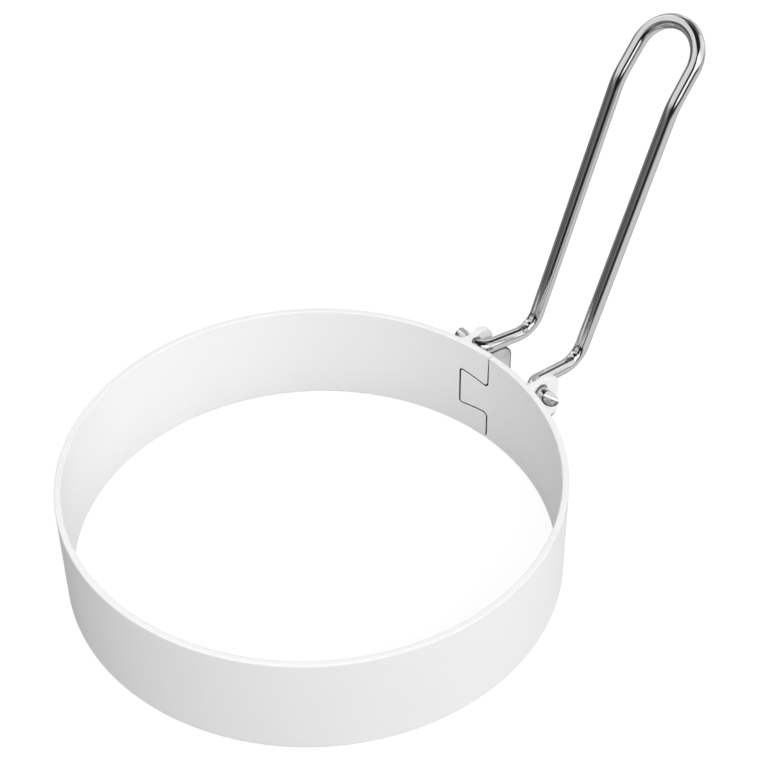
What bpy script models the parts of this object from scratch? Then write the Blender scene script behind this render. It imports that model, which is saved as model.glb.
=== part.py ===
"""Egg ring: a rolled and coated steel band with a wire handle that folds in over it.

Frame: +Z up, the ring stands on z = 0.  The origin is the middle of the whole
object's footprint; the ring's own axis stands RING_SHIFT behind it in X, and
the handle stands out towards +X.  Left is +Y, right is -Y.  Lengths in metres.
"""
import math

import bmesh
import bpy
from mathutils import Matrix, Vector

MM = 0.001

# --- Ring band ---------------------------------------------------------------
RING_OUTER_R = 44.5 * MM          # 89 mm (3.5 in) across the outside
WALL = 1.2 * MM                   # strip thickness with its coating
RING_HEIGHT = 20.2 * MM
RIM_EDGE_R = 0.30 * MM            # rounding of the strip's edges
RING_STEPS = 120                  # facets round the band

# --- Dovetail seam where the strip's two ends hook together --------------------
SEAM_ANGLE = math.radians(2.75)   # the straight runs of the seam
TAB_ANGLE = math.radians(11.75)   # the end of the tab
TAB_ROOT_LOW = 6.4 * MM           # height of the tab where it leaves its strip end
TAB_ROOT_HIGH = 12.8 * MM
TAB_TIP_LOW = 5.4 * MM            # height of the wider end of the tab
TAB_TIP_HIGH = 13.85 * MM
TAB_CORNER_R = 0.7 * MM
SEAM_GAP = 0.3 * MM

# --- Wire handle ---------------------------------------------------------------
WIRE_R = 1.32 * MM                # 2.64 mm wire
WIRE_SIDES_RESOLUTION = 4         # 12 sides
HINGE_X = 45.5 * MM               # hinge axis from the ring's axis
HINGE_Z = 18.16 * MM              # hinge axis above the bottom edge
PIN_HALF_SPAN = 13.3 * MM         # to the tip of the wire's right end
PIN_CUT_SLOPE = 0.80              # the right end is sheared off at a slant
PIN_CUT_SIDE = (-0.82, 0.57)      # (x, z) of the side that the shear makes shorter
LEFT_PIN_SHORTER = 0.35 * MM      # the left end is a little shorter and cut nearly square
LEFT_CUT_SLOPE = 0.12
PIN_CORNER_Y = 6.65 * MM          # where the pin turns into the short section
PIN_BEND_R = 2.3 * MM
KNEE = (58.15 * MM, 6.10 * MM, 16.60 * MM)     # corner of the lower bend (x, |y|, z)
KNEE_BEND_R = 4.7 * MM
KINK = (77.37 * MM, 6.60 * MM, 64.44 * MM)     # corner of the gentle upper bend
KINK_BEND_R = 13.0 * MM
LOOP_R = 6.50 * MM                # half round at the top of the handle
TOP_ANGLE = math.radians(51.96)   # the end of the handle above horizontal
TOP_LENGTH = 13.6 * MM            # from the kink's corner to the top of the loop

# --- Ears ------------------------------------------------------------------------
EAR_INNER_Y = 8.3 * MM
EAR_THICKNESS = 1.35 * MM
EAR_OUTER_X = 50.15 * MM
EAR_TOP_Z = 20.6 * MM
EAR_BOTTOM_Z = 10.9 * MM
EAR_TOP_CORNER_R = 2.9 * MM
EAR_BOTTOM_CORNER_R = 1.3 * MM
EAR_HOLE_R = 1.66 * MM            # leaves 0.34 mm round the wire
EAR_FILLET_INNER_R = 1.3 * MM     # weld fillet on the side that faces the middle
EAR_FILLET_OUTER_R = 1.0 * MM
EAR_FILLET_LOW = 11.4 * MM
EAR_FILLET_HIGH = 20.1 * MM

# --- Stop bracket: a stamped channel on the outside of the seam ---------------------
STOP_INNER_Y = 5.9 * MM
STOP_THICKNESS = 1.0 * MM
STOP_BACK_THICKNESS = 1.0 * MM
STOP_OUTER_X = 52.9 * MM
STOP_BOTTOM_Z = 6.6 * MM
STOP_BACK_TOP_Z = 15.4 * MM
STOP_TOP_CORNER_R = 3.0 * MM
STOP_BOTTOM_CORNER_R = 2.0 * MM
STOP_INSIDE_BEND_R = 0.8 * MM

FIT_GAP = 0.3 * MM                # between pieces that touch on the real object


# --- Geometry helpers -----------------------------------------------------------------
def rounded_path(points, radii, step_angle=math.radians(11.25), closed=False):
    """The points with each corner i turned into an arc of radii[i]."""
    points = [Vector(p) for p in points]
    count = len(points)
    result = []
    for i, corner in enumerate(points):
        if not closed and i in (0, count - 1):
            result.append(corner)
            continue
        before = (corner - points[i - 1]).normalized()
        after = (points[(i + 1) % count] - corner).normalized()
        turn = before.angle(after)
        if radii[i] <= 0.0 or turn < 1e-4:
            result.append(corner)
            continue
        inward = (after - before * before.dot(after)).normalized()
        start = corner - before * radii[i] * math.tan(turn / 2)
        centre = start + inward * radii[i]
        steps = max(2, math.ceil(turn / step_angle))
        for k in range(steps + 1):
            a = turn * k / steps
            result.append(centre - inward * radii[i] * math.cos(a) + before * radii[i] * math.sin(a))
    return result


def leg_height(x):
    """Height of the centre line of the handle's short section at x."""
    slope = (KNEE[2] - HINGE_Z) / (KNEE[0] - HINGE_X)
    return HINGE_Z + slope * (x - HINGE_X)


def stop_top(x):
    """Height of the stops' top edge, just under the short section."""
    slope = (KNEE[2] - HINGE_Z) / (KNEE[0] - HINGE_X)
    return leg_height(x) - WIRE_R * math.sqrt(1 + slope * slope) - FIT_GAP


def handle_half():
    """Centre line of the left half: from the cut end to just before the loop's top."""
    along = Vector((math.cos(TOP_ANGLE), 0, math.sin(TOP_ANGLE)))
    loop_start = Vector(KINK) + along * (TOP_LENGTH - LOOP_R)
    loop_start.y = LOOP_R
    corners = [
        (HINGE_X, PIN_HALF_SPAN, HINGE_Z),
        (HINGE_X, PIN_CORNER_Y, HINGE_Z),
        KNEE,
        KINK,
        loop_start,
    ]
    line = rounded_path(corners, [0, PIN_BEND_R, KNEE_BEND_R, KINK_BEND_R, 0])
    steps = 9
    for k in range(1, steps):
        a = math.pi / 2 * k / steps
        line.append(loop_start + along * LOOP_R * math.sin(a) + Vector((0, LOOP_R * (math.cos(a) - 1), 0)))
    apex = loop_start + along * LOOP_R
    apex.y = 0.0
    return line, apex


HANDLE_HALF, HANDLE_APEX = handle_half()
HANDLE_REACH = HANDLE_APEX.x + WIRE_R
RING_SHIFT = (HANDLE_REACH - RING_OUTER_R) / 2


# --- Scene helpers -----------------------------------------------------------------------
for old in list(bpy.data.objects):
    bpy.data.objects.remove(old, do_unlink=True)

PARTS = bpy.data.collections.new("egg_ring")
CUTTERS = bpy.data.collections.new("cutters")
for group in (PARTS, CUTTERS):
    bpy.context.scene.collection.children.link(group)

BASE = bpy.data.objects.new("egg_ring_base", None)
BASE.location = (-RING_SHIFT, 0, 0)
PARTS.objects.link(BASE)


def material(name, colour, roughness, metallic):
    made = bpy.data.materials.new(name)
    made.use_nodes = True
    shader = made.node_tree.nodes["Principled BSDF"]
    shader.inputs["Base Color"].default_value = (*colour, 1.0)
    shader.inputs["Roughness"].default_value = roughness
    shader.inputs["Metallic"].default_value = metallic
    return made


WHITE_COATING = material("white_coating", (0.86, 0.86, 0.85), 0.42, 0.0)
EAR_COATING = material("ear_coating", (0.88, 0.88, 0.87), 0.40, 0.0)
SATIN_STEEL = material("satin_steel", (0.60, 0.60, 0.60), 0.38, 1.0)
BRIGHT_STEEL = material("bright_steel", (0.72, 0.72, 0.72), 0.14, 1.0)


def smooth(obj, angle=35.0):
    obj.data.shade_smooth()
    obj.data.set_sharp_from_angle(angle=math.radians(angle))


def closed_mesh(curve_obj):
    """Turn a filled curve object into a welded mesh object of the same name."""
    bpy.context.view_layer.update()
    evaluated = curve_obj.evaluated_get(bpy.context.evaluated_depsgraph_get())
    mesh = bpy.data.meshes.new_from_object(evaluated)
    bm = bmesh.new()
    bm.from_mesh(mesh)
    bmesh.ops.remove_doubles(bm, verts=bm.verts, dist=1e-6)
    bmesh.ops.recalc_face_normals(bm, faces=bm.faces)
    bm.to_mesh(mesh)
    bm.free()
    name, place = curve_obj.name, curve_obj.matrix_world.copy()
    group = curve_obj.users_collection[0]
    bpy.data.objects.remove(curve_obj, do_unlink=True)
    obj = bpy.data.objects.new(name, mesh)
    group.objects.link(obj)
    obj.matrix_world = place
    return obj


def flat_outline(name, points, thickness, group, upright=False, offset=0.0):
    """A flat closed outline of the given thickness.

    In plan it lies in XY and is offset along Z; upright it stands in XZ and is
    offset along Y.
    """
    curve = bpy.data.curves.new(name, "CURVE")
    curve.dimensions = "2D"
    curve.fill_mode = "BOTH"
    curve.extrude = thickness / 2
    spline = curve.splines.new("POLY")
    spline.points.add(len(points) - 1)
    for point, place in zip(spline.points, points):
        point.co = (place[0], place[1], 0.0, 1.0)
    spline.use_cyclic_u = True
    obj = bpy.data.objects.new(name, curve)
    group.objects.link(obj)
    if upright:
        obj.rotation_euler = (math.pi / 2, 0, 0)
        obj.location = (0, offset, 0)
    else:
        obj.location = (0, 0, offset)
    return closed_mesh(obj)


def cylinder(name, radius, length, group, place, axis="Z", sides=48):
    bm = bmesh.new()
    turn = Matrix.Rotation(math.pi / 2, 4, "X") if axis == "Y" else Matrix.Identity(4)
    bmesh.ops.create_cone(bm, cap_ends=True, segments=sides, radius1=radius, radius2=radius, depth=length, matrix=turn)
    mesh = bpy.data.meshes.new(name)
    bm.to_mesh(mesh)
    bm.free()
    obj = bpy.data.objects.new(name, mesh)
    obj.location = place
    group.objects.link(obj)
    return obj


def as_tool(obj):
    """Mark a helper shape, which isn't itself a piece of the object."""
    obj.hide_render = True
    obj.display_type = "WIRE"
    obj.parent = BASE
    return obj


def boolean(obj, tool, operation):
    step = obj.modifiers.new(f"{operation.lower()}_{tool.name}", "BOOLEAN")
    step.operation = operation
    step.object = tool
    step.solver = "EXACT"


def finish(obj, finish_material):
    obj.data.materials.clear()
    obj.data.materials.append(finish_material)
    obj.parent = BASE
    return obj


# --- Ring band -----------------------------------------------------------------------------
def band_profile():
    """The strip's section at +X, down the outer side first."""
    inner = RING_OUTER_R - WALL
    corners = [
        (RING_OUTER_R, RING_HEIGHT, 0), (RING_OUTER_R, 0, 0),
        (inner, 0, 0), (inner, RING_HEIGHT, 0),
    ]
    return rounded_path(corners, [RIM_EDGE_R] * 4, math.radians(45), closed=True)


def make_band():
    bm = bmesh.new()
    ring = [bm.verts.new((p.x, 0, p.y)) for p in band_profile()]
    for i, vert in enumerate(ring):
        bm.edges.new((vert, ring[(i + 1) % len(ring)]))
    mesh = bpy.data.meshes.new("ring_band")
    bm.to_mesh(mesh)
    bm.free()
    band = bpy.data.objects.new("ring_band", mesh)
    PARTS.objects.link(band)
    turn = band.modifiers.new("turn", "SCREW")
    turn.axis = "Z"
    turn.angle = 2 * math.pi
    turn.steps = RING_STEPS
    turn.render_steps = RING_STEPS
    turn.use_merge_vertices = True
    turn.merge_threshold = 1e-6
    turn.use_smooth_shade = True
    return band


def make_seam_cutter():
    """A thin wall that follows the dovetail seam through the band."""
    middle = RING_OUTER_R - WALL / 2
    seam_y, tip_y = middle * math.sin(SEAM_ANGLE), middle * math.sin(TAB_ANGLE)
    route = rounded_path(
        [
            (seam_y, -2 * MM, 0), (seam_y, TAB_ROOT_LOW, 0), (tip_y, TAB_TIP_LOW, 0),
            (tip_y, TAB_TIP_HIGH, 0), (seam_y, TAB_ROOT_HIGH, 0), (seam_y, RING_HEIGHT + 2 * MM, 0),
        ],
        [0, TAB_CORNER_R, TAB_CORNER_R, TAB_CORNER_R, TAB_CORNER_R, 0], math.radians(25),
    )
    bm = bmesh.new()
    near, far = RING_OUTER_R - 6 * MM, RING_OUTER_R + 3 * MM
    lower = [bm.verts.new((near, p.x, p.y)) for p in route]
    edges = [bm.edges.new(pair) for pair in zip(lower, lower[1:])]
    grown = bmesh.ops.extrude_edge_only(bm, edges=edges)["geom"]
    moved = [item for item in grown if isinstance(item, bmesh.types.BMVert)]
    bmesh.ops.translate(bm, verts=moved, vec=(far - near, 0, 0))
    bmesh.ops.recalc_face_normals(bm, faces=bm.faces)
    mesh = bpy.data.meshes.new("seam_cutter")
    bm.to_mesh(mesh)
    bm.free()
    cutter = bpy.data.objects.new("seam_cutter", mesh)
    CUTTERS.objects.link(cutter)
    wall = cutter.modifiers.new("width", "SOLIDIFY")
    wall.thickness = SEAM_GAP
    wall.offset = 0.0
    wall.use_even_offset = True
    return as_tool(cutter)


band = finish(make_band(), WHITE_COATING)
boolean(band, make_seam_cutter(), "DIFFERENCE")


# --- Ears ------------------------------------------------------------------------------------
def fillet_foot(side):
    """Plan of the ear's welded foot: a concave fillet on each side of the plate."""
    inner_r, outer_r = EAR_FILLET_INNER_R, EAR_FILLET_OUTER_R
    inner_y, outer_y = EAR_INNER_Y, EAR_INNER_Y + EAR_THICKNESS

    def arc(radius, centre_y, face_y):
        centre_x = math.sqrt((RING_OUTER_R + radius) ** 2 - centre_y ** 2)
        toward_ring = math.atan2(-centre_y, -centre_x)
        toward_face = math.copysign(math.pi / 2, face_y - centre_y)
        if toward_ring > 0 or toward_face > 0:
            toward_ring %= 2 * math.pi
        steps = 6
        return [
            (centre_x + radius * math.cos(a), centre_y + radius * math.sin(a))
            for a in (toward_ring + (toward_face - toward_ring) * k / steps for k in range(steps + 1))
        ]

    inner = arc(inner_r, inner_y - inner_r, inner_y)
    outer = arc(outer_r, outer_y + outer_r, outer_y)
    reach = max(inner[-1][0], outer[-1][0])
    depth = RING_OUTER_R - 4 * MM
    plan = [(depth, inner[0][1])] + inner + [(reach + 0.4 * MM, inner_y + 0.2 * MM), (reach + 0.4 * MM, outer_y - 0.2 * MM)]
    plan += outer[::-1] + [(depth, outer[0][1])]
    return [(x, y * side) for x, y in plan]


def make_ear(name, side):
    middle = side * (EAR_INNER_Y + EAR_THICKNESS / 2)
    root_x = RING_OUTER_R - 4 * MM
    outline = rounded_path(
        [
            (root_x, EAR_BOTTOM_Z, 0), (EAR_OUTER_X, EAR_BOTTOM_Z, 0),
            (EAR_OUTER_X, EAR_TOP_Z, 0), (root_x, EAR_TOP_Z, 0),
        ],
        [0, EAR_BOTTOM_CORNER_R, EAR_TOP_CORNER_R, 0], closed=True,
    )
    ear = flat_outline(name, outline, EAR_THICKNESS, PARTS, upright=True, offset=middle)
    foot = flat_outline(
        f"{name}_foot", fillet_foot(side), EAR_FILLET_HIGH - EAR_FILLET_LOW, CUTTERS,
        offset=(EAR_FILLET_HIGH + EAR_FILLET_LOW) / 2,
    )
    boolean(ear, as_tool(foot), "UNION")
    boolean(ear, RING_CUTTER, "DIFFERENCE")
    hole = cylinder(f"{name}_hole", EAR_HOLE_R, 8 * MM, CUTTERS, (HINGE_X, middle, HINGE_Z), "Y", 32)
    boolean(ear, as_tool(hole), "DIFFERENCE")
    return finish(ear, EAR_COATING)


# Everything welded to the outside of the band stops one fit gap short of it.
RING_CUTTER = as_tool(cylinder(
    "ring_cutter", RING_OUTER_R + FIT_GAP, 60 * MM, CUTTERS, (0, 0, RING_HEIGHT / 2), sides=240))

make_ear("ear_left", 1)
make_ear("ear_right", -1)


# --- Stop bracket ------------------------------------------------------------------------------
def bracket_plan():
    """The channel seen from above: a curved back and two flanges turned outwards."""
    back_r = RING_OUTER_R + FIT_GAP + STOP_BACK_THICKNESS
    outer_y = STOP_INNER_Y + STOP_THICKNESS
    bend = STOP_INSIDE_BEND_R
    centre_y = STOP_INNER_Y - bend
    centre_x = math.sqrt((back_r + bend) ** 2 - centre_y ** 2)
    first = math.atan2(-centre_y, -centre_x) % (2 * math.pi)
    last = math.pi / 2
    corner = [
        (centre_x + bend * math.cos(a), centre_y + bend * math.sin(a))
        for a in (first + (last - first) * k / 5 for k in range(6))
    ]
    back_half = math.asin(corner[0][1] / back_r)
    back = [
        (back_r * math.cos(a), back_r * math.sin(a))
        for a in (back_half * k / 4 for k in range(4))
    ]
    depth = RING_OUTER_R - 4 * MM
    far = STOP_OUTER_X + 1 * MM
    upper = back[1:] + corner + [(far, STOP_INNER_Y), (far, outer_y), (depth, outer_y)]
    lower = [(x, -y) for x, y in reversed(upper)]
    return lower + [back[0]] + upper


def make_bracket():
    bracket = flat_outline(
        "stop_bracket", bracket_plan(), 30 * MM, PARTS, offset=RING_HEIGHT / 2)
    near = RING_OUTER_R - 6 * MM
    ramp_x = RING_OUTER_R + FIT_GAP + STOP_BACK_THICKNESS
    side = rounded_path(
        [
            (near, STOP_BOTTOM_Z, 0), (STOP_OUTER_X, STOP_BOTTOM_Z, 0),
            (STOP_OUTER_X, stop_top(STOP_OUTER_X), 0), (ramp_x + 0.9 * MM, stop_top(ramp_x + 0.9 * MM), 0),
            (ramp_x + 0.1 * MM, STOP_BACK_TOP_Z, 0), (near, STOP_BACK_TOP_Z, 0),
        ],
        [0, STOP_BOTTOM_CORNER_R, STOP_TOP_CORNER_R, 0.3 * MM, 0.3 * MM, 0], closed=True,
    )
    shape = flat_outline("stop_bracket_side", side, 40 * MM, CUTTERS, upright=True)
    boolean(bracket, as_tool(shape), "INTERSECT")
    boolean(bracket, RING_CUTTER, "DIFFERENCE")
    return finish(bracket, SATIN_STEEL)


make_bracket()


# --- Wire handle -------------------------------------------------------------------------------
def make_handle():
    """The bent wire; its object's origin lies on the hinge axis."""
    pivot = Vector((HINGE_X, 0, HINGE_Z))
    right_half = [Vector((p.x, -p.y, p.z)) for p in HANDLE_HALF]
    line = HANDLE_HALF + [HANDLE_APEX] + right_half[::-1]
    curve = bpy.data.curves.new("wire_handle", "CURVE")
    curve.dimensions = "3D"
    curve.bevel_depth = WIRE_R
    curve.bevel_resolution = WIRE_SIDES_RESOLUTION
    curve.use_fill_caps = True
    curve.twist_mode = "MINIMUM"
    spline = curve.splines.new("POLY")
    spline.points.add(len(line) - 1)
    for point, place in zip(spline.points, line):
        point.co = (*(place - pivot), 1.0)
    handle = bpy.data.objects.new("wire_handle", curve)
    PARTS.objects.link(handle)
    handle = closed_mesh(handle)
    for vert in handle.data.vertices:      # the slanted shear of both cut ends
        if abs(vert.co.y) > PIN_HALF_SPAN - 0.01 * MM:
            short = WIRE_R + vert.co.x * PIN_CUT_SIDE[0] + vert.co.z * PIN_CUT_SIDE[1]
            if vert.co.y > 0:
                vert.co.y -= LEFT_PIN_SHORTER + LEFT_CUT_SLOPE * short
            else:
                vert.co.y += PIN_CUT_SLOPE * short
    handle.location = pivot
    smooth(handle, 50)
    return finish(handle, BRIGHT_STEEL)


make_handle()
for piece in PARTS.objects:
    if piece.type == "MESH" and piece.name != "wire_handle":
        smooth(piece)
bpy.context.view_layer.update()
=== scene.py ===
"""The looks of an egg ring: a rolled, white coated steel band with a folding wire handle."""

import math

import bmesh
import bpy
from mathutils import Matrix, Vector, geometry, noise


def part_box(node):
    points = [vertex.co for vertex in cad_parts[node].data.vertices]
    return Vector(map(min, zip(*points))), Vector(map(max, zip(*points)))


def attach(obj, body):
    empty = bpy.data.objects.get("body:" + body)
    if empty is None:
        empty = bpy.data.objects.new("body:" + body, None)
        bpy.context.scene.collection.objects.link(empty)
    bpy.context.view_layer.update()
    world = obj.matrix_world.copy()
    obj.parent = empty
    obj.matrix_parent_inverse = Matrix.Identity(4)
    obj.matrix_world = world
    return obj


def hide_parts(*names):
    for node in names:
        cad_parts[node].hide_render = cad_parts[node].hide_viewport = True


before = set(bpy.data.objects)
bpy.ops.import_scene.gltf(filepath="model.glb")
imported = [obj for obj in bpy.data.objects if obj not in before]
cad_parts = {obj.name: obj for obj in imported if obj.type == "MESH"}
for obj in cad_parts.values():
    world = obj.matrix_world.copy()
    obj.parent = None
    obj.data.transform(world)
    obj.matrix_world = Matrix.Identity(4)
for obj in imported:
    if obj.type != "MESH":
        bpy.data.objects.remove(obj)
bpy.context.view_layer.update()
MM = 0.001

band_low, band_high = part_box("ring_band")
AXIS_X = (band_low.x + band_high.x) / 2      # the ring's own axis
TO_WORLD = Matrix.Translation((AXIS_X, 0, 0))

# Sizes, as the CAD has them, from the ring's axis and the surface it stands on.
RING_R = 44.5 * MM
WALL = 1.2 * MM
HEIGHT = 20.2 * MM
WIRE_R = 1.32 * MM
HINGE_X, HINGE_Z = 45.5 * MM, 18.16 * MM
PIN_HALF_SPAN, PIN_CORNER_Y, PIN_BEND_R = 13.3 * MM, 6.65 * MM, 2.3 * MM
PIN_CUT_SLOPE, PIN_CUT_SIDE = 0.80, (-0.82, 0.57)
LEFT_PIN_SHORTER, LEFT_CUT_SLOPE = 0.35 * MM, 0.12
KNEE, KNEE_BEND_R = (58.15 * MM, 6.10 * MM, 16.60 * MM), 4.7 * MM
KINK, KINK_BEND_R = (77.37 * MM, 6.60 * MM, 64.44 * MM), 13.0 * MM
LOOP_R, TOP_ANGLE, TOP_LENGTH = 6.50 * MM, math.radians(51.96), 13.6 * MM
EAR_INNER_Y, EAR_THICKNESS = 8.3 * MM, 1.35 * MM
EAR_OUTER_X, EAR_TOP_Z, EAR_BOTTOM_Z = 50.15 * MM, 20.6 * MM, 10.9 * MM


# =============================================================================
# Helpers
# =============================================================================
def rounded_path(points, radii, step_angle=math.radians(9), closed=False):
    """The points with each corner i turned into an arc of radii[i]."""
    points = [Vector(p) for p in points]
    count = len(points)
    result = []
    for i, corner in enumerate(points):
        if not closed and i in (0, count - 1):
            result.append(corner)
            continue
        before = (corner - points[i - 1]).normalized()
        after = (points[(i + 1) % count] - corner).normalized()
        turn = before.angle(after)
        if radii[i] <= 0.0 or turn < 1e-4:
            result.append(corner)
            continue
        inward = (after - before * before.dot(after)).normalized()
        start = corner - before * radii[i] * math.tan(turn / 2)
        centre = start + inward * radii[i]
        steps = max(2, math.ceil(turn / step_angle))
        for k in range(steps + 1):
            a = turn * k / steps
            result.append(centre - inward * radii[i] * math.cos(a) + before * radii[i] * math.sin(a))
    return result


def smoothstep(low, high, value):
    t = min(1.0, max(0.0, (value - low) / (high - low)))
    return t * t * (3 - 2 * t)


def mesh_object(name, bm, materials):
    mesh = bpy.data.meshes.new(name)
    bm.to_mesh(mesh)
    bm.free()
    obj = bpy.data.objects.new(name, mesh)
    bpy.context.scene.collection.objects.link(obj)
    for item in materials:
        mesh.materials.append(item)
    return obj


def evaluated_copy(obj):
    bpy.context.view_layer.update()
    return bpy.data.meshes.new_from_object(obj.evaluated_get(bpy.context.evaluated_depsgraph_get()))


def rounded_plate(outline, thickness, round_r):
    """A flat plate with rounded edges, as a bmesh in (along, through, up).

    Each point of the outline is (along, up, share): the edge from it to the next
    point is rounded by that share of round_r.
    """
    bm = bmesh.new()
    weight = bm.edges.layers.float.new("bevel_weight_edge")
    back = [bm.verts.new((s, -thickness / 2, z)) for s, z, _ in outline]
    front = [bm.verts.new((s, thickness / 2, z)) for s, z, _ in outline]
    bm.faces.new(back)
    bm.faces.new(front[::-1])
    count = len(outline)
    for i in range(count):
        j = (i + 1) % count
        bm.faces.new((back[j], back[i], front[i], front[j]))
    bmesh.ops.recalc_face_normals(bm, faces=bm.faces)
    for i in range(count):
        j = (i + 1) % count
        for side in (back, front):
            bm.edges.get((side[i], side[j]))[weight] = outline[i][2]
        before = Vector((outline[i][0] - outline[i - 1][0], outline[i][1] - outline[i - 1][1]))
        after = Vector((outline[j][0] - outline[i][0], outline[j][1] - outline[i][1]))
        if before.angle(after) > math.radians(50):
            bm.edges.get((back[i], front[i]))[weight] = min(outline[i][2], outline[i - 1][2])
    obj = mesh_object("plate_in_work", bm, [])
    bevel = obj.modifiers.new("round", "BEVEL")
    bevel.limit_method = "WEIGHT"
    bevel.width = round_r
    bevel.segments = 4
    bevel.use_clamp_overlap = False
    mesh = evaluated_copy(obj)
    bpy.data.objects.remove(obj, do_unlink=True)
    bm = bmesh.new()
    bm.from_mesh(mesh)
    bpy.data.meshes.remove(mesh)
    bmesh.ops.triangulate(bm, faces=[f for f in bm.faces if len(f.verts) > 4])
    return bm


def cut_in_strips(bm, places, axis):
    """Cuts the mesh along planes at each place on the axis, so that it can bend."""
    normal = Vector((0, 0, 0))
    normal[axis] = 1.0
    for place in places:
        point = Vector((0, 0, 0))
        point[axis] = place
        bmesh.ops.bisect_plane(
            bm, geom=bm.verts[:] + bm.edges[:] + bm.faces[:], dist=1e-7, plane_co=point, plane_no=normal)


def finish_sheet(name, bm, bend, materials):
    for vert in bm.verts:
        vert.co = bend(*vert.co)
    bmesh.ops.remove_doubles(bm, verts=bm.verts, dist=2e-7)
    bmesh.ops.recalc_face_normals(bm, faces=bm.faces)
    obj = mesh_object(name, bm, materials)
    obj.data.shade_smooth()
    even = obj.modifiers.new("even_shading", "WEIGHTED_NORMAL")
    even.weight = 80
    even.keep_sharp = False
    return obj


def give(obj, body, slot, *nodes):
    obj.matrix_world = TO_WORLD @ obj.matrix_world
    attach(obj, body)
    if nodes:
        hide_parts(*nodes)
    return obj


# =============================================================================
# Materials
# =============================================================================
class Nodes:
    """A short way to write a material's nodes."""

    def __init__(self, tree):
        self.tree = tree

    def add(self, kind, inputs=None, **settings):
        node = self.tree.nodes.new(kind)
        for key, value in settings.items():
            setattr(node, key, value)
        for key, value in (inputs or {}).items():
            if isinstance(value, bpy.types.NodeSocket):
                self.tree.links.new(value, node.inputs[key])
            else:
                node.inputs[key].default_value = value
        return node

    def math(self, operation, *values, clamp=False):
        return self.add("ShaderNodeMath", dict(enumerate(values)), operation=operation, use_clamp=clamp).outputs[0]

    def noise(self, vector, scale, detail=2.0, roughness=0.5, distortion=0.0):
        return self.add("ShaderNodeTexNoise", {
            "Vector": vector, "Scale": scale, "Detail": detail, "Roughness": roughness, "Distortion": distortion,
        }).outputs["Fac"]

    def range(self, value, from_low, from_high, to_low, to_high, smooth=False):
        return self.add("ShaderNodeMapRange", {
            "Value": value, "From Min": from_low, "From Max": from_high, "To Min": to_low, "To Max": to_high,
        }, interpolation_type="SMOOTHSTEP" if smooth else "LINEAR").outputs["Result"]

    def mix_colour(self, factor, one, other):
        node = self.add("ShaderNodeMix", data_type="RGBA")
        for index, value in ((0, factor), (6, one), (7, other)):
            if isinstance(value, bpy.types.NodeSocket):
                self.tree.links.new(value, node.inputs[index])
            else:
                node.inputs[index].default_value = value if index == 0 else (*value, 1.0)
        return node.outputs[2]

    def bump(self, height, strength, distance, normal=None):
        values = {"Height": height, "Strength": strength, "Distance": distance}
        if normal is not None:
            values["Normal"] = normal
        return self.add("ShaderNodeBump", values).outputs["Normal"]


def new_material(name):
    made = bpy.data.materials.new(name)
    made.use_nodes = True
    nodes = Nodes(made.node_tree)
    shader = made.node_tree.nodes["Principled BSDF"]
    place = nodes.add("ShaderNodeTexCoord").outputs["Object"]
    return made, nodes, shader, place


def link(nodes, socket, target):
    nodes.tree.links.new(socket, target)


def white_coating_material():
    """Sprayed satin white coating: faint orange peel, a little uneven in gloss and tone."""
    made, n, shader, place = new_material("white_coating")
    cloud = n.noise(place, 55.0, 3.0, 0.55)
    peel = n.noise(place, 900.0, 2.0, 0.5)
    grain = n.noise(place, 5200.0, 2.0, 0.6)
    specks = n.range(n.noise(place, 2400.0, 1.0, 0.4), 0.70, 0.78, 0.0, 1.0, smooth=True)
    tone = n.mix_colour(cloud, (0.795, 0.797, 0.800), (0.835, 0.836, 0.834))
    tone = n.mix_colour(n.math("MULTIPLY", specks, 0.10), tone, (0.62, 0.62, 0.61))
    link(n, tone, shader.inputs["Base Color"])
    gloss = n.range(n.math("ADD", n.math("MULTIPLY", cloud, 0.6), n.math("MULTIPLY", peel, 0.4)), 0.3, 0.7, 0.34, 0.46)
    link(n, gloss, shader.inputs["Roughness"])
    first = n.bump(peel, 0.10, 0.00005)
    link(n, n.bump(grain, 0.05, 0.00002, first), shader.inputs["Normal"])
    shader.inputs["Specular IOR Level"].default_value = 0.45
    return made


def seam_shadow_material():
    """Painted shadow for the seam's narrow slit: its side walls near black, grainy and rough."""
    made, n, shader, place = new_material("seam_painted_shadow")
    grain = n.noise(place, 3000.0, 3.0, 0.6)
    # near-black base colour: painted shadow of the slit, not the steel's own colour
    link(n, n.mix_colour(grain, (0.020, 0.020, 0.022), (0.055, 0.054, 0.052)), shader.inputs["Base Color"])
    link(n, n.range(grain, 0.3, 0.7, 0.55, 0.80), shader.inputs["Roughness"])
    link(n, n.bump(grain, 0.3, 0.00004), shader.inputs["Normal"])
    shader.inputs["Specular IOR Level"].default_value = 0.2
    return made


def wire_material():
    """Bright drawn steel wire: near mirror, with faint lines along its length."""
    made, n, shader, place = new_material("bright_wire")
    uv = n.add("ShaderNodeUVMap", uv_map="along_wire").outputs["UV"]
    stretched = n.add("ShaderNodeMapping", {"Vector": uv, "Scale": (260.0, 5.0, 1.0)}).outputs["Vector"]
    lines = n.noise(stretched, 1.0, 4.0, 0.6)
    wide = n.add("ShaderNodeMapping", {"Vector": uv, "Scale": (40.0, 16.0, 1.0)}).outputs["Vector"]
    cloud = n.noise(wide, 1.0, 2.0, 0.5)
    tone = n.mix_colour(lines, (0.66, 0.665, 0.67), (0.80, 0.80, 0.80))
    link(n, tone, shader.inputs["Base Color"])
    shader.inputs["Metallic"].default_value = 1.0
    link(n, n.range(n.math("ADD", n.math("MULTIPLY", lines, 0.5), n.math("MULTIPLY", cloud, 0.5)), 0.3, 0.7, 0.05, 0.11), shader.inputs["Roughness"])
    link(n, n.bump(lines, 0.12, 0.00002), shader.inputs["Normal"])
    return made


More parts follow.
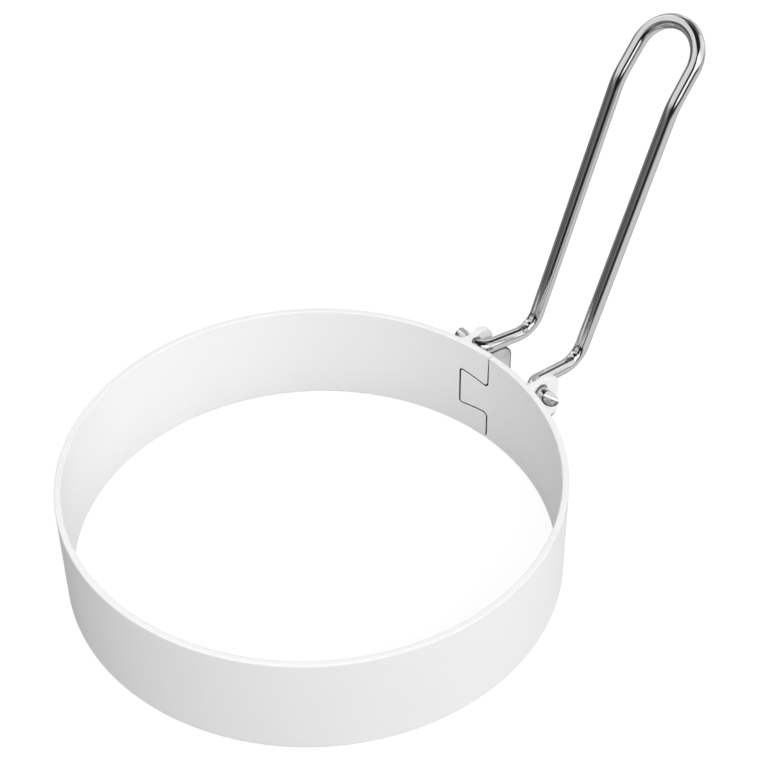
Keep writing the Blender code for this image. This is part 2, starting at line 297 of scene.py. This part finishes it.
def cut_end_material():
    """The sheared ends of the wire: duller, with a coarse grain."""
    made, n, shader, place = new_material("wire_cut_end")
    grain = n.noise(place, 2600.0, 4.0, 0.65)
    patch = n.range(n.noise(place, 1500.0, 2.0, 0.5), 0.40, 0.60, 0.0, 1.0, smooth=True)
    blend = n.math("ADD", n.math("MULTIPLY", grain, 0.5), n.math("MULTIPLY", patch, 0.5))
    link(n, n.mix_colour(blend, (0.26, 0.26, 0.265), (0.92, 0.92, 0.92)), shader.inputs["Base Color"])
    shader.inputs["Metallic"].default_value = 1.0
    link(n, n.range(grain, 0.3, 0.7, 0.30, 0.55), shader.inputs["Roughness"])
    link(n, n.bump(grain, 0.5, 0.00006), shader.inputs["Normal"])
    return made


def burr_material():
    """The smeared edge round a sheared end: dark, with a little shine left."""
    made, n, shader, place = new_material("wire_burr")
    grain = n.noise(place, 3400.0, 3.0, 0.6)
    link(n, n.mix_colour(grain, (0.05, 0.05, 0.052), (0.17, 0.17, 0.17)), shader.inputs["Base Color"])
    shader.inputs["Metallic"].default_value = 1.0
    link(n, n.range(grain, 0.3, 0.7, 0.35, 0.55), shader.inputs["Roughness"])
    link(n, n.bump(grain, 0.4, 0.00005), shader.inputs["Normal"])
    return made


def bracket_material():
    """Plain rolled sheet steel: satin, with the mill's faint lines, a little staining and a near-black band painted
    along its outline.
    """
    made, n, shader, place = new_material("satin_steel")
    stretched = n.add("ShaderNodeMapping", {"Vector": place, "Scale": (260.0, 260.0, 5200.0)}).outputs["Vector"]
    lines = n.noise(stretched, 1.0, 3.0, 0.6)
    cloud = n.noise(place, 420.0, 3.0, 0.55)
    both = n.math("ADD", n.math("MULTIPLY", lines, 0.5), n.math("MULTIPLY", cloud, 0.5))
    sheet = n.mix_colour(n.range(both, 0.38, 0.62, 0.0, 1.0), (0.62, 0.62, 0.625), (0.92, 0.92, 0.92))
    # near-black band painted along the plate's outline, strongest at the edge
    edge = n.add("ShaderNodeAttribute", attribute_name="dark_outline_band").outputs["Fac"]
    link(n, n.mix_colour(n.math("MULTIPLY", edge, 0.92), sheet, (0.07, 0.07, 0.072)), shader.inputs["Base Color"])
    shader.inputs["Metallic"].default_value = 1.0
    link(n, n.range(both, 0.3, 0.7, 0.30, 0.48), shader.inputs["Roughness"])
    link(n, n.bump(lines, 0.15, 0.00003), shader.inputs["Normal"])
    return made


WHITE = white_coating_material()
SEAM_SHADOW = seam_shadow_material()
WIRE = wire_material()
CUT_END = cut_end_material()
BURR = burr_material()
STEEL = bracket_material()


# =============================================================================
# Ring band: one strip, rolled, its ends hooked together by a dovetail
# =============================================================================
MID_R = RING_R - WALL / 2
SLIT = 0.34 * MM
SEAM = math.radians(2.75) * MID_R + SLIT / 2          # along the strip's middle line
TAB_TIP = math.radians(11.75) * MID_R + SLIT / 2
TURN = 2 * math.pi * MID_R


def band_outline():
    """The flat strip: socket at its beginning, tab at its end. Points (along, up, share)."""
    low_root, high_root = 6.23 * MM, 12.97 * MM
    low_tip, high_tip = 5.23 * MM, 14.02 * MM
    g = SLIT
    end, tip = SEAM + TURN - g, TAB_TIP + TURN - g
    tab = rounded_path(
        [
            (end, 0.0, 0), (end, low_root + g, 0), (tip, low_tip + g, 0), (tip, high_tip - g, 0),
            (end, high_root - g, 0), (end, HEIGHT, 0),
        ],
        [0, 1.0 * MM, 0.45 * MM, 0.45 * MM, 1.10 * MM, 0], math.radians(15))
    socket = rounded_path(
        [
            (SEAM, HEIGHT, 0), (SEAM, high_root, 0), (TAB_TIP, high_tip, 0), (TAB_TIP, low_tip, 0),
            (SEAM, low_root, 0), (SEAM, 0.0, 0),
        ],
        [0, 0.85 * MM, 0.75 * MM, 0.75 * MM, 0.80 * MM, 0], math.radians(15))
    seam_share = 0.36
    points = [(p.x, p.y, seam_share) for p in tab[:-1]]
    points.append((tab[-1].x, tab[-1].y, 1.0))
    points += [(p.x, p.y, seam_share) for p in socket[:-1]]
    points.append((socket[-1].x, socket[-1].y, 1.0))
    return points


def bend_band(along, through, up):
    """Rolls the strip round; its socket end stands a trace proud, and the wall isn't perfectly true."""
    angle = along / MID_R
    radius = MID_R + through
    lap = 1.0 - smoothstep(SEAM, SEAM + 9 * MM, along)
    radius += 0.08 * MM * lap * smoothstep(10 * MM, 20 * MM, up)
    lip = 1.0 - smoothstep(SEAM + 0.2 * MM, SEAM + 2.2 * MM, along)
    radius += 0.12 * MM * lip * smoothstep(16.5 * MM, 20 * MM, up)
    spot = Vector((math.cos(angle) * 1.7, math.sin(angle) * 1.7, up * 45.0))
    radius += 0.018 * MM * noise.noise(spot)
    return Vector((radius * math.cos(angle), radius * math.sin(angle), up))


def make_band():
    bm = rounded_plate(band_outline(), WALL, 0.30 * MM)
    step = math.radians(1.25) * MID_R
    count = int((TAB_TIP + TURN - SEAM) / step)
    cut_in_strips(bm, [SEAM + step * (k + 0.5) for k in range(count + 1)], 0)
    cut_in_strips(bm, [SEAM + s * MM for s in (0.35, 0.8, 1.3, 1.8, 2.3)], 0)
    cut_in_strips(bm, [h * MM for h in (0.6, 1.4, 3.0, 5.0, 7.6, 10.0, 12.4, 15.2, 16.6, 17.6, 18.6, 19.4)], 2)
    bm.normal_update()
    for face in bm.faces:      # the faces inside the seam, painted near black as the slit's shadow
        n, height = face.normal, face.calc_center_median().z
        between = 0.4 * MM < height < HEIGHT - 0.5 * MM
        if abs(n.y) < 0.3 and between:
            face.material_index = 1
    return finish_sheet("ring_band_coated", bm, bend_band, [WHITE, SEAM_SHADOW])


give(make_band(), "ring", "white_coating", "ring_band")


# =============================================================================
# Ears: coated plates, welded on with a soft fillet
# =============================================================================
def extruded(name, outline, low, high, turn=None):
    """A closed prism on an outline in XY from low to high; turn then places it."""
    bm = bmesh.new()
    bottom = [bm.verts.new((x, y, low)) for x, y in outline]
    top = [bm.verts.new((x, y, high)) for x, y in outline]
    bm.faces.new(bottom)
    bm.faces.new(top[::-1])
    for i in range(len(outline)):
        j = (i + 1) % len(outline)
        bm.faces.new((bottom[j], bottom[i], top[i], top[j]))
    bmesh.ops.recalc_face_normals(bm, faces=bm.faces)
    if turn is not None:
        bmesh.ops.transform(bm, matrix=turn, verts=bm.verts)
        bmesh.ops.recalc_face_normals(bm, faces=bm.faces)
    return mesh_object(name, bm, [])


def fillet_arc(radius, face_y, side):
    """Concave arc between the band's outside and the plate's face; side is -1 below it in Y."""
    centre_y = face_y + side * radius
    centre_x = math.sqrt((RING_R + radius) ** 2 - centre_y ** 2)
    first = math.atan2(-centre_y, -centre_x)
    last = -side * math.pi / 2
    if side < 0:
        first %= 2 * math.pi
    else:
        first = first if first < 0 else first - 2 * math.pi
    return [
        (centre_x + radius * math.cos(a), centre_y + radius * math.sin(a))
        for a in (first + (last - first) * k / 10 for k in range(11))
    ]


def make_ear(name, side):
    inner_y, outer_y = EAR_INNER_Y, EAR_INNER_Y + EAR_THICKNESS
    root = RING_R - 1.10 * MM
    shoulder = EAR_TOP_Z - (0.55 * MM if side > 0 else 0.15 * MM)
    plate = rounded_path(
        [
            (root, EAR_BOTTOM_Z, 0), (EAR_OUTER_X, EAR_BOTTOM_Z, 0), (EAR_OUTER_X, EAR_TOP_Z, 0),
            (46.7 * MM, EAR_TOP_Z, 0), (45.7 * MM, shoulder, 0), (root, shoulder, 0),
        ],
        [0, 1.3 * MM, 2.9 * MM, 0.5 * MM, 0.5 * MM, 0], closed=True)
    upright = Matrix(((1, 0, 0, 0), (0, 0, side, 0), (0, 1, 0, 0), (0, 0, 0, 1)))
    ear = extruded("ear_in_work", [(p.x, p.y) for p in plate], inner_y, outer_y, upright)
    low, high = fillet_arc(1.3 * MM, inner_y, -1), fillet_arc(1.0 * MM, outer_y, 1)
    deep = RING_R - 0.3 * MM
    ends = [math.atan2(p[1], p[0]) for p in (low[0], high[0])]
    sunk = [(deep * math.cos(a), deep * math.sin(a)) for a in ends]
    plan = [sunk[0]] + low + high[::-1] + [sunk[1]]
    foot = extruded("foot_in_work", [(x, y * side) for x, y in plan], 11.2 * MM, 20.1 * MM)
    bm = bmesh.new()
    place = Matrix.Translation((HINGE_X, side * (inner_y + outer_y) / 2, HINGE_Z)) @ Matrix.Rotation(math.pi / 2, 4, "X")
    bmesh.ops.create_cone(bm, cap_ends=True, segments=64, radius1=1.66 * MM, radius2=1.66 * MM, depth=9 * MM, matrix=place)
    hole = mesh_object("hole_in_work", bm, [])
    for tool, operation in ((foot, "UNION"), (hole, "DIFFERENCE")):
        step = ear.modifiers.new(operation, "BOOLEAN")
        step.operation, step.object, step.solver = operation, tool, "EXACT"
    remesh = ear.modifiers.new("skin", "REMESH")
    remesh.mode = "VOXEL"
    remesh.voxel_size = 0.00011
    soften = ear.modifiers.new("soften", "SMOOTH")
    soften.factor = 0.5
    soften.iterations = 7
    mesh = evaluated_copy(ear)
    for item in (ear, foot, hole):
        bpy.data.objects.remove(item, do_unlink=True)
    mesh.name = name
    mesh.materials.clear()
    mesh.materials.append(WHITE)
    mesh.shade_smooth()
    made = bpy.data.objects.new(name, mesh)
    bpy.context.scene.collection.objects.link(made)
    return made


give(make_ear("ear_left_coated", 1), "ring", "white_coating", "ear_left")
give(make_ear("ear_right_coated", -1), "ring", "white_coating", "ear_right")


# =============================================================================
# Stop bracket: one stamping, spot welded over the outside of the seam
# =============================================================================
SHEET = 1.0 * MM
BACK_R = 45.75 * MM - SHEET / 2
FLANGE_Y = 5.9 * MM + SHEET / 2
BEND_R = 0.8 * MM + SHEET / 2
BEND_Y = FLANGE_Y - BEND_R
BEND_X = math.sqrt((BACK_R + BEND_R) ** 2 - BEND_Y ** 2)
BEND_AT = math.atan2(BEND_Y, BEND_X)
BACK_HALF = BACK_R * BEND_AT
BEND_LENGTH = BEND_R * (math.pi / 2 + BEND_AT)
STOP_REACH = 52.9 * MM
FLANGE_LENGTH = STOP_REACH - BEND_X


def bend_bracket(along, through, up):
    side = 1 if along >= 0 else -1
    s = abs(along)
    if s <= BACK_HALF:
        a = s / BACK_R
        radius = BACK_R + through
        x, y = radius * math.cos(a), radius * math.sin(a)
    elif s <= BACK_HALF + BEND_LENGTH:
        a = math.pi + BEND_AT - (s - BACK_HALF) / BEND_R
        radius = BEND_R - through
        x, y = BEND_X + radius * math.cos(a), BEND_Y + radius * math.sin(a)
    else:
        x, y = BEND_X + s - BACK_HALF - BEND_LENGTH, FLANGE_Y - through
    if through > 0 and s < BACK_HALF:   # spot weld marks
        away = math.hypot(s - 2.5 * MM, up - 11.0 * MM)
        dent = 0.16 * MM * (1.0 - smoothstep(0.55 * MM, 1.05 * MM, away))
        dent -= 0.05 * MM * math.exp(-((away - 1.2 * MM) / (0.16 * MM)) ** 2)
        x -= dent
    return Vector((x, side * y, up))


def bracket_outline():
    slope = (KNEE[2] - HINGE_Z) / (KNEE[0] - HINGE_X)

    def top(x):
        return HINGE_Z + slope * (x - HINGE_X) - WIRE_R * math.sqrt(1 + slope * slope) - 0.04 * MM

    def s_at(x):
        return BACK_HALF + BEND_LENGTH + x - BEND_X

    half = rounded_path(
        [
            (0.0, 6.6 * MM, 0), (s_at(STOP_REACH), 6.6 * MM, 0), (s_at(STOP_REACH), top(STOP_REACH), 0),
            (s_at(47.0 * MM), top(47.0 * MM), 0), (s_at(46.0 * MM), 15.4 * MM, 0), (0.0, 15.4 * MM, 0),
        ],
        [0, 2.0 * MM, 3.0 * MM, 0.4 * MM, 0.4 * MM, 0], math.radians(9))
    right = [(p.x, p.y, 1.0) for p in half[1:-1]]
    left = [(-x, z, w) for x, z, w in reversed(right)]
    return right + left


def make_bracket():
    outline = bracket_outline()
    bm = rounded_plate(outline, SHEET, 0.17 * MM)
    reach = BACK_HALF + BEND_LENGTH + FLANGE_LENGTH
    step = 0.20 * MM
    cut_in_strips(bm, [step * k for k in range(-int(reach / step), int(reach / step) + 1)], 0)
    cut_in_strips(bm, [6.6 * MM + step * k for k in range(1, 48)], 2)
    # the painted dark band: full at the outline, fading out between 0.20 and 0.46 mm inside it
    shade = bm.verts.layers.float.new("dark_outline_band")
    flat = [Vector((s, z)) for s, z, _ in outline]
    for vert in bm.verts:
        place = Vector((vert.co.x, vert.co.z))
        away = min(
            (place - geometry.intersect_point_line(place, a, b)[0]).length
            for a, b in zip(flat, flat[1:] + flat[:1])
            if -0.001 <= geometry.intersect_point_line(place, a, b)[1] <= 1.001
        )
        vert[shade] = 1.0 - smoothstep(0.20 * MM, 0.46 * MM, away)
    return finish_sheet("stop_bracket_stamped", bm, bend_bracket, [STEEL])


give(make_bracket(), "ring", "satin_steel", "stop_bracket")


# =============================================================================
# Wire handle
# =============================================================================
def handle_line():
    """Centre line from one cut end to the other, with a bend's share at each point."""
    along = Vector((math.cos(TOP_ANGLE), 0, math.sin(TOP_ANGLE)))
    loop_start = Vector(KINK) + along * (TOP_LENGTH - LOOP_R)
    loop_start.y = LOOP_R
    corners = [
        (HINGE_X, PIN_HALF_SPAN, HINGE_Z), (HINGE_X, PIN_CORNER_Y, HINGE_Z), KNEE, KINK, loop_start,
    ]
    half = rounded_path(corners, [0, PIN_BEND_R, KNEE_BEND_R, KINK_BEND_R, 0], math.radians(3))
    for k in range(1, 30):
        a = math.pi / 2 * k / 30
        half.append(loop_start + along * LOOP_R * math.sin(a) + Vector((0, LOOP_R * (math.cos(a) - 1), 0)))
    apex = loop_start + along * LOOP_R
    apex.y = 0.0
    other = [Vector((p.x, -p.y, p.z)) for p in half]
    return half + [apex] + other[::-1]


def resampled(line, step):
    """The line with extra points on its straights, none further apart than step."""
    points = [line[0]]
    for a, b in zip(line, line[1:]):
        count = max(1, math.ceil((b - a).length / step))
        points += [a.lerp(b, k / count) for k in range(1, count + 1)]
    return points


def make_handle():
    line = resampled(handle_line(), 0.7 * MM)
    room = PIN_HALF_SPAN - 2.6 * MM       # no ring of the tube within the slanted cuts
    line = [line[0]] + [p for p in line[1:-1] if abs(p.y) < room] + [line[-1]]
    sides = 48
    count = len(line)
    tangents = []
    for i in range(count):
        tangents.append((line[min(i + 1, count - 1)] - line[max(i - 1, 0)]).normalized())
    across = Vector((0, 0, 1))
    frames = []
    for t in tangents:
        across = (across - t * across.dot(t)).normalized()
        frames.append((across.copy(), t.cross(across).normalized()))
    run = [0.0]
    for a, b in zip(line, line[1:]):
        run.append(run[-1] + (b - a).length)
    knees = []
    for sign in (1, -1):
        corner = Vector((KNEE[0], sign * KNEE[1], KNEE[2]))
        knees.append(min(range(count), key=lambda i: (line[i] - corner).length))
    to_hinge = (Vector((HINGE_X, 0, HINGE_Z)) - Vector((KNEE[0], 0, KNEE[2]))).normalized()
    to_kink = (Vector((KINK[0], 0, KINK[2])) - Vector((KNEE[0], 0, KNEE[2]))).normalized()
    inside = (to_hinge + to_kink).normalized()

    bm = bmesh.new()
    uv = bm.loops.layers.uv.new("along_wire")
    rings = []
    chamfer = 0.10 * MM

    def sheared(place, centre, inward):
        """Moves a point of an end's ring back to the slanted plane of the cut."""
        short = WIRE_R + (place.x - centre.x) * PIN_CUT_SIDE[0] + (place.z - centre.z) * PIN_CUT_SIDE[1]
        if place.y > 0:
            return place + inward * (LEFT_PIN_SHORTER + LEFT_CUT_SLOPE * short)
        rolled = 0.85 * WIRE_R * max(0.0, upper_half(place, centre) - 0.05) ** 2
        return place + inward * (PIN_CUT_SLOPE * short + rolled)

    def upper_half(place, centre):
        """How far into the half of the right cut where the blade dragged the surface over, from -1 to 1."""
        return ((place.x - centre.x) * 0.57 + (place.z - centre.z) * 0.82) / WIRE_R

    def end_material(face, centre, rim):
        middle = face.calc_center_median()
        if middle.y < 0 and upper_half(middle, centre) > 0.08:
            return 0
        return 2 if rim else 1

    for i, (centre, (u, v)) in enumerate(zip(line, frames)):
        ring = []
        arch = smoothstep(66 * MM, 72 * MM, centre.z)      # the loop's bend flattens the wire a little
        for k in range(sides):
            a = 2 * math.pi * k / sides
            direction = u * math.cos(a) + v * math.sin(a)
            radius = WIRE_R * (1.0 + 0.03 * arch)
            if i in (0, count - 1):
                radius -= chamfer
            for knee in knees:
                gap = run[i] - run[knee]
                if abs(gap) < 4 * MM:
                    facing = max(0.0, direction.dot(inside))
                    # the bending tool's marks on the inside of the bend
                    for offset, depth, width in ((-0.75 * MM, 0.13 * MM, 0.42 * MM), (0.75 * MM, 0.11 * MM, 0.42 * MM)):
                        radius -= depth * facing ** 3 * math.exp(-((gap - offset) / width) ** 2)
                    radius += 0.03 * MM * facing ** 2 * math.exp(-(gap / (0.3 * MM)) ** 2)
            place = centre + direction * radius
            if i in (0, count - 1):
                place = sheared(place, centre, tangents[i] * (1 if i == 0 else -1))
            ring.append(bm.verts.new(place))
        rings.append(ring)
    # the chamfers at the two cut ends
    for index, end in ((0, 0), (count - 1, -1)):
        t = tangents[index] * (1 if index == 0 else -1)
        u, v = frames[index]
        ring = []
        for k in range(sides):
            a = 2 * math.pi * k / sides
            place = line[index] + t * chamfer + (u * math.cos(a) + v * math.sin(a)) * WIRE_R
            ring.append(bm.verts.new(sheared(place, line[index], t)))
        if index == 0:
            rings.insert(1, ring)
            run.insert(1, run[0] + chamfer)
        else:
            rings.insert(len(rings) - 1, ring)
            run.insert(len(run) - 1, run[-1] - chamfer)
    for i in range(len(rings) - 1):
        for k in range(sides):
            j = (k + 1) % sides
            face = bm.faces.new((rings[i][k], rings[i][j], rings[i + 1][j], rings[i + 1][k]))
            for loop, (row, column) in zip(face.loops, ((i, k), (i, k + 1), (i + 1, k + 1), (i + 1, k))):
                loop[uv].uv = (column / sides, run[row] / (100 * MM))
            if i in (0, len(rings) - 2):
                face.material_index = end_material(face, line[0], True)
    for index, inner in ((0, rings[0]), (count - 1, rings[-1])):
        t = tangents[index] * (1 if index == 0 else -1)
        u, v = frames[index]
        centre = line[index]
        for share in (0.93, 0.86, 0.74, 0.6, 0.45, 0.3, 0.15):
            nxt = []
            for k in range(sides):
                a = 2 * math.pi * k / sides
                place = centre + (u * math.cos(a) + v * math.sin(a)) * (WIRE_R - chamfer) * share
                nxt.append(bm.verts.new(sheared(place, centre, t)))
            for k in range(sides):
                j = (k + 1) % sides
                face = bm.faces.new((inner[k], inner[j], nxt[j], nxt[k]))
                face.material_index = end_material(face, centre, share > 0.85)
            inner = nxt
        hub = bm.verts.new(sheared(centre.copy(), centre, t))
        for k in range(sides):
            face = bm.faces.new((inner[k], inner[(k + 1) % sides], hub))
            face.material_index = end_material(face, centre, False)
    bmesh.ops.recalc_face_normals(bm, faces=bm.faces)
    handle = mesh_object("wire_handle_bright", bm, [WIRE, CUT_END, BURR])
    handle.data.shade_smooth()
    handle.data.set_sharp_from_angle(angle=math.radians(60))
    return handle


give(make_handle(), "handle", "bright_wire", "wire_handle")


# =============================================================================
# Floor, studio and camera
# =============================================================================
def make_floor():
    bm = bmesh.new()
    bmesh.ops.create_circle(bm, cap_ends=True, segments=64, radius=3.0)
    made = bpy.data.materials.new("pale_floor")
    made.use_nodes = True
    nodes = Nodes(made.node_tree)
    shader = made.node_tree.nodes["Principled BSDF"]
    shader.inputs["Base Color"].default_value = (0.34, 0.34, 0.34, 1)
    shader.inputs["Roughness"].default_value = 0.9
    shader.inputs["Specular IOR Level"].default_value = 0.0
    shader.inputs["Emission Color"].default_value = (1, 1, 1, 1)
    shader.inputs["Emission Strength"].default_value = 0.72
    floor = mesh_object("floor", bm, [made])
    floor.location.z = -0.0002
    floor.visible_diffuse = False
    floor.visible_glossy = False
    floor.visible_shadow = False

    bm = bmesh.new()
    bmesh.ops.create_uvsphere(bm, u_segments=48, v_segments=24, radius=3.0)
    white = bpy.data.materials.new("white_backdrop")
    white.use_nodes = True
    shader = white.node_tree.nodes["Principled BSDF"]
    shader.inputs["Base Color"].default_value = (0, 0, 0, 1)
    shader.inputs["Specular IOR Level"].default_value = 0.0
    shader.inputs["Emission Color"].default_value = (1, 1, 1, 1)
    shader.inputs["Emission Strength"].default_value = 1.05
    dome = mesh_object("backdrop", bm, [white])
    for kind in ("diffuse", "glossy", "transmission", "volume_scatter", "shadow"):
        setattr(dome, f"visible_{kind}", False)


def make_world():
    """The studio as the polished wire sees it: soft white panels with dark gaps between them.

    Each panel is azimuth, half width, lowest and highest elevation, softness (degrees) and radiance.
    """
    world = bpy.data.worlds.new("studio")
    bpy.context.scene.world = world
    world.use_nodes = True
    n = Nodes(world.node_tree)
    background = world.node_tree.nodes["Background"]
    direction = n.add("ShaderNodeTexCoord").outputs["Generated"]
    x, y, z = n.add("ShaderNodeSeparateXYZ", {0: direction}).outputs
    elevation = n.math("MULTIPLY", n.math("ARCSINE", n.math("MAXIMUM", n.math("MINIMUM", z, 1.0), -1.0)), 180 / math.pi)

    def panel(azimuth, half_width, low, high, soft, radiance):
        a = math.radians(azimuth)
        ahead = n.math("ADD", n.math("MULTIPLY", x, math.cos(a)), n.math("MULTIPLY", y, math.sin(a)))
        aside = n.math("SUBTRACT", n.math("MULTIPLY", y, math.cos(a)), n.math("MULTIPLY", x, math.sin(a)))
        off = n.math("MULTIPLY", n.math("ABSOLUTE", n.math("ARCTAN2", aside, ahead)), 180 / math.pi)
        wide = n.range(off, half_width - soft, half_width + soft, 1.0, 0.0, smooth=True)
        up = n.range(elevation, low - soft, low + soft, 0.0, 1.0, smooth=True)
        down = n.range(elevation, high - soft, high + soft, 1.0, 0.0, smooth=True)
        return n.math("MULTIPLY", n.math("MULTIPLY", n.math("MULTIPLY", wide, up), down), radiance)

    panels = [
        panel(-102, 27, 14, 55, 4, 1.40),     # main softbox
        panel(-85, 36, 9, 15, 4, 0.70),       # its lower edge
        panel(-45, 28, 0, 56, 8, 0.95),       # front right wall
        panel(10, 30, -14, 38, 5, 0.72),      # right wall
        panel(-6, 16, 37, 43, 4, 0.50),       # its raised left end
        panel(0, 60, 55, 68, 5, 0.19),        # dim ceiling above it
        panel(62, 28, -14, 47, 5, 0.50),      # back right
        panel(115, 38, 14, 63, 6, 0.86),      # back left, from above the horizon up
        panel(175, 24, 24, 60, 6, 0.80),      # left
        panel(165, 20, 8, 24, 6, 0.30),
        panel(150, 58, -12, 8, 6, 0.085),     # dark band at the left horizon
        panel(118, 5, -10, 8, 3, 0.10),       # its lighter end
        panel(162, 6, -12, 9, 3, 0.05),
        panel(-170, 5, -10, 40, 3, 0.17),     # thin reflector beside the camera's black flag
        panel(-75, 50, -95, -8, 8, 0.72),     # table top in front
        panel(-155, 25, -95, -12, 8, 0.30),
        panel(20, 40, -95, -14, 8, 0.60),
        panel(120, 60, -42, -12, 8, 0.27),
        panel(120, 60, -95, -42, 8, 0.17),
    ]
    total = 0.018
    for item in panels:
        total = n.math("ADD", item, total)
    link(n, total, background.inputs["Strength"])
    background.inputs["Color"].default_value = (1.0, 1.0, 1.0, 1.0)


def fill_light(name, azimuth, elevation, radiance, radius=0.49, distance=1.0):
    """A round diffuser turned to the object, by the radiance of its surface."""
    data = bpy.data.lights.new(name, "AREA")
    data.shape = "DISK"
    data.size = 2 * radius
    data.energy = radiance * math.pi * math.pi * radius ** 2
    light = bpy.data.objects.new(name, data)
    bpy.context.scene.collection.objects.link(light)
    a, e = math.radians(azimuth), math.radians(elevation)
    way = Vector((math.cos(a) * math.cos(e), math.sin(a) * math.cos(e), math.sin(e)))
    light.location = Vector((0, 0, 0.02)) + way * distance
    light.rotation_mode = "QUATERNION"
    light.rotation_quaternion = way.to_track_quat("Z", "Y")
    light.visible_glossy = False
    light.visible_camera = False


make_floor()
make_world()
fill_light("fill_front_left", -119, 48, 2.04)
fill_light("fill_front", -92, 30, 0.46)
fill_light("fill_right", -20, 30, 0.46)
fill_light("fill_back", 68, 36, 0.55)
fill_light("fill_left", 178, 26, 1.30)
fill_light("fill_below", -45, -50, 0.70)

# The camera's place and direction, from the photograph's perspective.
CAMERA_TURN = math.radians(39.364)      # it looks this far to the left of +X's normal, +Y
CAMERA_DOWN = math.radians(41.05)
CAMERA_ROLL = math.radians(-0.84)
CAMERA_PLACE = Vector((0.27, -5.41, 5.62)) * RING_R


def make_camera():
    data = bpy.data.cameras.new("camera")
    data.sensor_width = 36.0
    data.lens = 1918.0 * 36.0 / 760.0
    data.clip_start, data.clip_end = 0.01, 20.0
    camera = bpy.data.objects.new("camera", data)
    bpy.context.scene.collection.objects.link(camera)
    turn = Matrix.Rotation(-CAMERA_TURN, 4, "Z")
    right = Vector((1, 0, 0))
    up = Vector((0, math.sin(CAMERA_DOWN), math.cos(CAMERA_DOWN)))
    back = right.cross(up)
    c, s = math.cos(CAMERA_ROLL), math.sin(CAMERA_ROLL)
    right, up = right * c + up * s, up * c - right * s
    pose = Matrix((
        (right.x, up.x, back.x, CAMERA_PLACE.x),
        (right.y, up.y, back.y, CAMERA_PLACE.y),
        (right.z, up.z, back.z, CAMERA_PLACE.z),
        (0, 0, 0, 1),
    ))
    camera.matrix_world = TO_WORLD @ turn @ pose
    bpy.context.scene.camera = camera


make_camera()
bpy.context.scene.view_settings.view_transform = "Standard"
